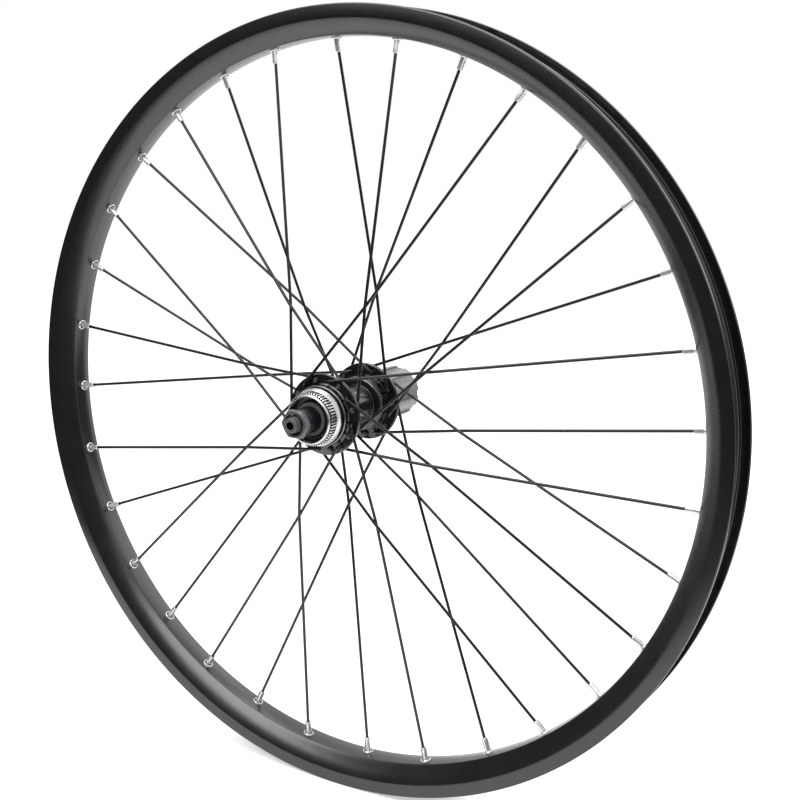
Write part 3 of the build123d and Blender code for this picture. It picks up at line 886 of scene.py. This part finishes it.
hub_black = make_finish(
    "hub_black",
    (0.0025, 0.0032, 0.004),
    (0.0045, 0.0055, 0.0065),
    (0.12, 0.22),
    specular=1.0,
    lines=TURNED_LINES,
    relief=0.06,
)
boss_silver = make_finish(
    "boss_silver",
    (0.52, 0.516, 0.505),
    (0.7, 0.696, 0.684),
    (0.18, 0.26),
    metallic=1,
    lines=TURNED_LINES,
    relief=0.06,
)
# Grey metal for the thin ring behind the groove, which is a black edge: a painted highlight.
shoulder_painted_highlight = make_finish(
    "shoulder_painted_highlight",
    (0.15, 0.149, 0.147),
    (0.21, 0.208, 0.205),
    (0.2, 0.3),
    metallic=1,
    lines=TURNED_LINES,
    relief=0.06,
)
hub_corners = [
    (13.05, SPLIT_Y, 0),
    (17.6, SPLIT_Y, 0),
    (17.6, -39.6, 0.2),
    (19.2, -39.6, 0.15),
    (19.9, -38.9, 0.15),
    (19.9, -38.2, 0.3),
    (19.3, -37.6, 0.3),
    (19.5, -35.2, 0.6),
    (20.6, -34.3, 0.7),
    (DISC_FLANGE_RADIUS, -33.7, 0.7),
    (DISC_FLANGE_RADIUS, -31.5, 0.75),
    (19.0, -31.2, 0.6),
    (12.5, -30.2, 2.6),
    (12.5, 7.2, 0.6),
    (18.2, 7.2, 3.0),
    (18.2, 15.7, 0.3),
    (DRIVE_FLANGE_RADIUS, 15.95, 0.75),
    (DRIVE_FLANGE_RADIUS, 18.45, 0.75),
    (18.6, 18.7, 0.6),
    (18.0, DRIVE_END, 0.4),
    (14.05, DRIVE_END, 0.2),
    (14.05, 7.9, 0),
    (9.0, 7.9, 0),
    (9.0, -38.9, 0),
    (13.05, -38.9, 0),
]
hub_body = turn("hub_body", hub_corners, HUB_STEPS)
hub_bits = []
for index in range(SPOKES):
    angle, circle, flange_y = hub_hole(index)[:3]
    before = around(circle, angle, flange_y - HOLE_REACH)
    after = around(circle, angle, flange_y + HOLE_REACH)
    hub_bits.append(rod(HOLE_RADIUS, before, after, 20))
cut(hub_body, join(hub_bits, "hub_bits"))
smooth(hub_body, 32)
settle(hub_body, "wheel", "hub_black", [hub_black, shoulder_painted_highlight], "hub_shell")
# The thin ring behind the groove gets the grey metal: a painted highlight on a black edge.
paint(hub_body, 1, lambda radius, along: radius > 19.3 and -39.5 < along < -38.8)
print("hub body faces", len(hub_body.data.polygons))

# %% [markdown]
# ## Disc boss
# The brake disc slides on to a ring of fine teeth and stops at a shoulder. Each tooth could be modelled and copied,
# but the teeth belong to one turned piece, so it is spun with eight faces for each tooth. Four of them, all round,
# are picked by their angle and pushed inwards, which leaves the teeth standing. A small bevel rounds their edges.

# %% Disc boss
TEETH = 54
FACES_PER_TOOTH = 8
TOOTH_DEPTH = 0.8
TOOTH_FOOT = 16.6
TOOTHED_BAND = (-50.2, -44.95)
GAP_SHARE = 0.5
BOSS_END = -52.2

# Near-black for the bottoms of the tooth gaps and the groove: painted shade.
boss_painted_shade = make_finish(
    "boss_painted_shade",
    (0.035, 0.035, 0.034),
    (0.06, 0.06, 0.058),
    (0.4, 0.55),
    metallic=1,
    lines=TURNED_LINES,
    relief=0.1,
)
boss_corners = [
    (14.75, BOSS_END, 0.2),
    (15.25, BOSS_END, 0.2),
    (16.35, BOSS_END + 1.1, 0.2),
    (15.6, -50.9, 0.1),
    (15.6, -50.3, 0.1),
    (16.5, -50.3, 0),
    (17.25, -49.7, 0),
    (17.25, -44.9, 0),
    (17.4, -44.8, 0),
    (18.75, -42.5, 0.3),
    (18.75, -41.75, 0.3),
    (18.4, -41.4, 0.1),
    (17.6, -41.3, 0.2),
    (17.6, SPLIT_Y, 0),
    (13.05, SPLIT_Y, 0),
    (13.05, -47.2, 0),
    (14.75, -47.2, 0),
]
disc_boss = turn("disc_boss", boss_corners, TEETH * FACES_PER_TOOTH, segments=3)


def in_tooth_gap(spot):
    """True on the faces of the toothed band that lie between two teeth."""
    radius = sqrt(spot.x**2 + spot.z**2) / MM
    share = (atan2(spot.z, spot.x) / (2 * pi) * TEETH) % 1
    in_band = TOOTHED_BAND[0] < spot.y / MM < TOOTHED_BAND[1]
    return radius > TOOTH_FOOT and in_band and share < GAP_SHARE


start_fresh()
bpy.context.view_layer.objects.active = disc_boss
bpy.ops.object.mode_set(mode="EDIT")
pick("faces", in_tooth_gap)
bpy.ops.mesh.extrude_region_shrink_fatten(TRANSFORM_OT_shrink_fatten={"value": -TOOTH_DEPTH * MM})
bpy.ops.object.mode_set(mode="OBJECT")


def soften(piece, width, angle=40, segments=2):
    """A small bevel on the sharp edges, so that they catch the light as real ones do."""
    start_fresh()
    bpy.context.view_layer.objects.active = piece
    bevel = piece.modifiers.new("soft_edges", "BEVEL")
    bevel.width = width * MM
    bevel.segments = segments
    bevel.limit_method = "ANGLE"
    bevel.angle_limit = radians(angle)
    bpy.ops.object.modifier_apply(modifier="soft_edges")


def is_given_black(radius, along):
    """The bore of the boss and its foot in the groove, which are given the black finish."""
    return (radius < 14.9 and along > BOSS_END + 0.7) or along > -41.5


def is_painted_shade(radius, along):
    """The bottoms of the gaps between the teeth and the groove before them, which get painted shade because little
    light reaches them.
    """
    deepest = 16.65 if along < -49.6 else 17
    return -51.2 < along < -44 and 15 < radius < deepest


soften(disc_boss, 0.1, 50)
smooth(disc_boss, 32)
settle(disc_boss, "wheel", "hub_black", [boss_silver, hub_black, boss_painted_shade], "hub_shell")
paint(disc_boss, 1, is_given_black)
# The tooth gaps and the groove before them are painted dark: painted shade.
paint(disc_boss, 2, is_painted_shade)
print("disc boss faces", len(disc_boss.data.polygons))

# %% [markdown]
# ## Axle and locknuts
# The axle is a hollow spindle with plain tips. On each end a locknut holds the bearings. A nut is a hexagon whose
# corners were turned off, so a hexagon, spun in six steps, is intersected with a round blank that has sloping
# edges. That leaves the curved line that every nut has along its flats. A shallow black step rings the axle, and
# the bore of the axle is given the black finish as painted shade inside the hole.

# %% Axle and locknuts
AXLE_END = 72.0
AXLE_BORE = 2.6
AXLE_RADIUS = 5.0
TIP_RADIUS = 4.75
TIP_LENGTH = 4
NUT_INNER = 62.5
NUT_OUTER = 67.5
NUT_FLATS = 17
NUT_CORNER = NUT_FLATS / sqrt(3)
NUT_BORE = 5.05
STEP_RADIUS = 7.1
STEP_Y = 67.0
CUT_PAST = 2.5
ROUND_STEPS = 96

dark_steel = make_finish(
    "dark_steel",
    (0.115, 0.116, 0.116),
    (0.165, 0.166, 0.166),
    (0.34, 0.44),
    metallic=0.55,
    lines=TURNED_LINES,
    relief=0.1,
)
axle_corners = [
    (AXLE_BORE, AXLE_END, 0.35),
    (TIP_RADIUS, AXLE_END, 0.55),
    (TIP_RADIUS, AXLE_END - TIP_LENGTH, 0.1),
    (AXLE_RADIUS, AXLE_END - TIP_LENGTH - 0.1, 0.1),
]
spindle = turn("axle_spindle", mirrored(axle_corners), ROUND_STEPS)
smooth(spindle)
settle(spindle, "axle", "dark_steel", [dark_steel, hub_black], "axle")
# The bore of the axle is given the black finish: painted shade inside the hole.
paint(spindle, 1, lambda radius, along: radius < AXLE_BORE + 0.05)

nut_blank = [
    (0, NUT_INNER, 0),
    (8.6, NUT_INNER, 0),
    (NUT_CORNER + 0.4, NUT_INNER + 0.9, 0),
    (NUT_CORNER + 0.4, NUT_OUTER - 1.0, 0),
    (8.3, NUT_OUTER, 0),
    (0, NUT_OUTER, 0),
]
nut_prism = [(0, NUT_INNER, 0), (NUT_CORNER, NUT_INNER, 0), (NUT_CORNER, NUT_OUTER, 0), (0, NUT_OUTER, 0)]
nut = turn("locknut", nut_prism, 6)
cut(nut, turn("nut_blank", nut_blank, 120), "INTERSECT")
past_nut = around(0, 0, NUT_OUTER + CUT_PAST)
cut(nut, rod(NUT_BORE, around(0, 0, NUT_INNER - CUT_PAST), past_nut, 72))
cut(nut, rod(STEP_RADIUS, around(0, 0, STEP_Y), past_nut, 72))
soften(nut, 0.12)
smooth(nut, 25)
left_nut = copy_to(nut, Matrix.Rotation(pi, 4, "X"))
axle_locknuts = join([nut, left_nut], "axle_locknuts")
settle(axle_locknuts, "axle", "dark_steel", [dark_steel, hub_black], "locknuts")
paint(axle_locknuts, 1, lambda radius, along: radius < STEP_RADIUS + 0.05 and abs(abs(along) - STEP_Y) < 0.2)
print("locknut faces", len(axle_locknuts.data.polygons))

# %% [markdown]
# ## Spacers and bearings
# Between each bearing and its locknut sits a sleeve with a dust lip that covers the middle of the bearing's seal.
# The sleeves are black and the lips a worn grey. A sealed bearing has two rings of ground steel and, on each side, a
# rubber seal that lies a little deeper between them.

# %% Spacers and bearings
SLEEVE_BORE = 5.05
SLEEVE_RADIUS = 8.5
LIP_RADIUS = 10.7
LIP_WIDTH = 2.2
INNER_RING = 6.6
OUTER_RING = 12.3
BEARING_RADIUS = 13.0
SEAL_DEPTH = 0.4

spacer_black = make_finish(
    "spacer_black", (0.004, 0.005, 0.0065), (0.007, 0.009, 0.011), (0.3, 0.45), specular=0.3
)
lip_grey = make_finish(
    "lip_grey", (0.06, 0.06, 0.059), (0.09, 0.089, 0.087), (0.4, 0.55), lines=TURNED_LINES, relief=0.1
)
bearing_steel = make_finish("bearing_steel", (0.4, 0.4, 0.41), (0.52, 0.52, 0.53), (0.2, 0.3), metallic=1)
seal_rubber = make_finish("seal_rubber", (0.008, 0.008, 0.008), (0.014, 0.014, 0.014), (0.55, 0.7), specular=0.3)


def make_spacer(name, bearing_y, side):
    """A sleeve from a bearing's face to its locknut, with its lip next to the bearing."""
    corners = [
        (SLEEVE_BORE, bearing_y, 0),
        (LIP_RADIUS, bearing_y, 0.25),
        (LIP_RADIUS, bearing_y + side * LIP_WIDTH, 0.45),
        (SLEEVE_RADIUS + 0.2, bearing_y + side * (LIP_WIDTH - 0.1), 0.1),
        (SLEEVE_RADIUS, bearing_y + side * (LIP_WIDTH + 0.2), 0.1),
        (SLEEVE_RADIUS, side * NUT_INNER, 0.2),
        (SLEEVE_BORE, side * NUT_INNER, 0),
    ]
    spacer = turn(name, corners, ROUND_STEPS)
    smooth(spacer)
    spacer.data.materials.append(spacer_black)
    spacer.data.materials.append(lip_grey)
    paint(spacer, 1, lambda radius, along: radius > SLEEVE_RADIUS + 0.15)
    return spacer


def make_bearing(name, low, high):
    """A sealed bearing between two places along the axle."""
    corners = [
        (SLEEVE_BORE, low, 0.2),
        (INNER_RING, low, 0.1),
        (INNER_RING + 0.1, low + SEAL_DEPTH, 0),
        (OUTER_RING - 0.1, low + SEAL_DEPTH, 0),
        (OUTER_RING, low, 0.1),
        (BEARING_RADIUS, low, 0.35),
        (BEARING_RADIUS, high, 0.35),
        (OUTER_RING, high, 0.1),
        (OUTER_RING - 0.1, high - SEAL_DEPTH, 0),
        (INNER_RING + 0.1, high - SEAL_DEPTH, 0),
        (INNER_RING, high, 0.1),
        (SLEEVE_BORE, high, 0.2),
    ]
    bearing = turn(name, corners, ROUND_STEPS)
    smooth(bearing)
    bearing.data.materials.append(bearing_steel)
    bearing.data.materials.append(seal_rubber)
    paint(bearing, 1, lambda radius, along: INNER_RING + 0.05 < radius < OUTER_RING - 0.05)
    return bearing


DISC_BEARING = (-47.2, -39.2)
DRIVE_BEARING = (48.5, 56.5)
disc_spacer = make_spacer("disc_spacer", DISC_BEARING[0], -1)
drive_spacer = make_spacer("drive_spacer", DRIVE_BEARING[1], 1)
axle_spacers = join([disc_spacer, drive_spacer], "axle_spacers")
settle(axle_spacers, "axle", "dark_aluminium", [], "spacers")
disc_bearing = make_bearing("disc_bearing", *DISC_BEARING)
drive_bearing = make_bearing("drive_bearing", *DRIVE_BEARING)
hub_bearings = join([disc_bearing, drive_bearing], "hub_bearings")
settle(hub_bearings, "axle", "bearing_steel", [], "bearings")
print("spacer and bearing faces", len(axle_spacers.data.polygons), len(hub_bearings.data.polygons))

# %% [markdown]
# ## Freehub
# The sprockets slide on to nine straight splines. One groove between them is narrow, so that they fit only one way.
# The body is turned at its full radius, nine boxes cut the grooves, and 24 small wedges cut the saw teeth of the
# ratchet inside, where the pawls catch. Its satin grey is darker in the grooves.

# %% Freehub
FREEHUB_START = 22.2
FREEHUB_END = 59.7
SPLINE_START = 24.7
CREST_RADIUS = 17.3
ROOT_RADIUS = 16.1
GROOVES = 9
GROOVE_REACH = 2.4
GROOVE_WIDTH = 6.2
KEY_GROOVE_WIDTH = 4.4
RATCHET_TEETH = 24
TOOTH_LAND = 1
RATCHET_DEPTH = 0.9
RATCHET_START = 25.5
RATCHET_END = 31.9
BORE_RADIUS = 14.3

freehub_satin = make_finish(
    "freehub_satin", (0.22, 0.218, 0.214), (0.29, 0.287, 0.282), (0.32, 0.46), metallic=0.4, lines=4000, relief=0.12
)
freehub_groove = make_finish(
    "freehub_groove", (0.15, 0.148, 0.146), (0.21, 0.208, 0.204), (0.4, 0.55), metallic=0.4, lines=4000, relief=0.12
)
freehub_corners = [
    (BORE_RADIUS, FREEHUB_START, 0.2),
    (18.7, FREEHUB_START, 0.4),
    (18.7, SPLINE_START, 0.3),
    (CREST_RADIUS, SPLINE_START, 0.1),
    (CREST_RADIUS, FREEHUB_END, 0.4),
    (15.25, FREEHUB_END, 0.4),
    (15.25, FREEHUB_END - 7.5, 0.1),
    (BORE_RADIUS, FREEHUB_END - 7.5, 0.1),
]
freehub = turn("freehub_body", freehub_corners, 144)
groove_length = FREEHUB_END - SPLINE_START + 1
groove_middle = around(ROOT_RADIUS + GROOVE_REACH / 2, 0, SPLINE_START + groove_length / 2)
key_groove = block((GROOVE_REACH, groove_length, KEY_GROOVE_WIDTH), groove_middle)
wide_grooves = copies_round(block((GROOVE_REACH, groove_length, GROOVE_WIDTH), groove_middle), GROOVES)
bpy.data.objects.remove(wide_grooves.pop(0))
for groove in [key_groove, *wide_grooves]:
    cut(freehub, groove)


def tooth_wedge():
    """The wedge between two saw teeth: one side stands upright, and the other slopes to the next tooth."""
    corners = [
        around(BORE_RADIUS - RATCHET_DEPTH, 0, RATCHET_START),
        around(BORE_RADIUS + RATCHET_DEPTH, 0, RATCHET_START),
        around(BORE_RADIUS, 360 / RATCHET_TEETH - TOOTH_LAND, RATCHET_START),
    ]
    wedge = trace("tooth_wedge", corners)
    bpy.ops.mesh.select_all(action="SELECT")
    bpy.ops.mesh.edge_face_add()
    pull(Vector((0, RATCHET_END - RATCHET_START, 0)) * MM)
    bpy.ops.mesh.select_all(action="SELECT")
    bpy.ops.mesh.normals_make_consistent(inside=False)
    bpy.ops.object.mode_set(mode="OBJECT")
    return wedge


soften(freehub, 0.16)
cut(freehub, join(copies_round(tooth_wedge(), RATCHET_TEETH), "tooth_wedges"))
smooth(freehub, 25)
settle(freehub, "freehub", "freehub_silver", [freehub_satin, freehub_groove], "freehub_shell")
paint(freehub, 1, lambda radius, along: radius < ROOT_RADIUS + 0.5 and along > SPLINE_START)
print("freehub faces", len(freehub.data.polygons))

# %% [markdown]
# ## Inside the freehub
# The core and its two pawls are hidden behind the freehub. Their CAD shapes are right as they are, so they stay and
# only get the finish of ground steel.

# %% Hidden pieces
for name in ("freehub_core", "pawl_1", "pawl_2"):
    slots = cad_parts[name].material_slots
    for slot in slots:
        slot.material = bearing_steel
    print(name, "slots", len(slots))
